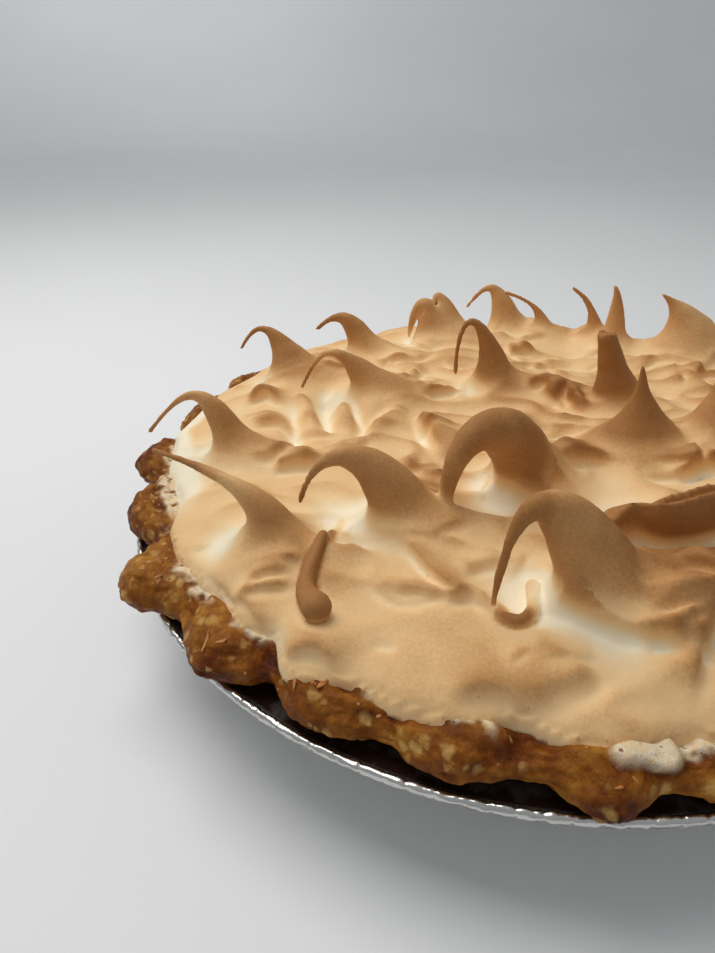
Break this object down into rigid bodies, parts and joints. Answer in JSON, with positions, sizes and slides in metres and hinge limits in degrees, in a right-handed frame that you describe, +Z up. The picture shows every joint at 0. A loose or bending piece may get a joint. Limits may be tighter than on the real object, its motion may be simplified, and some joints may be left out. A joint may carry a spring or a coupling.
{
  "type": "lemon meringue pie",
  "caption": "Whole lemon meringue pie in a fluted foil tin, with a browned crust rim and pulled, toasted meringue peaks.",
  "frame": {"origin": "centre of the tin's flat base, on the surface it stands on", "axes": "+Z up; -Y is the side turned to the camera in the picture; the peaks are pulled towards -X"},
  "size_m": [0.2461, 0.2415, 0.0782],
  "materials": {
    "foil": "bright pressed foil, slightly crinkled at the rim",
    "pastry": "golden brown baked pastry with pale blisters and a low sheen",
    "meringue": "smooth toasted meringue, tan on its crests and cream in its hollows"
  },
  "bodies": {
    "root": {"foil_tin": "foil", "crust": "pastry", "meringue": "meringue"}
  },
  "joints": []
}
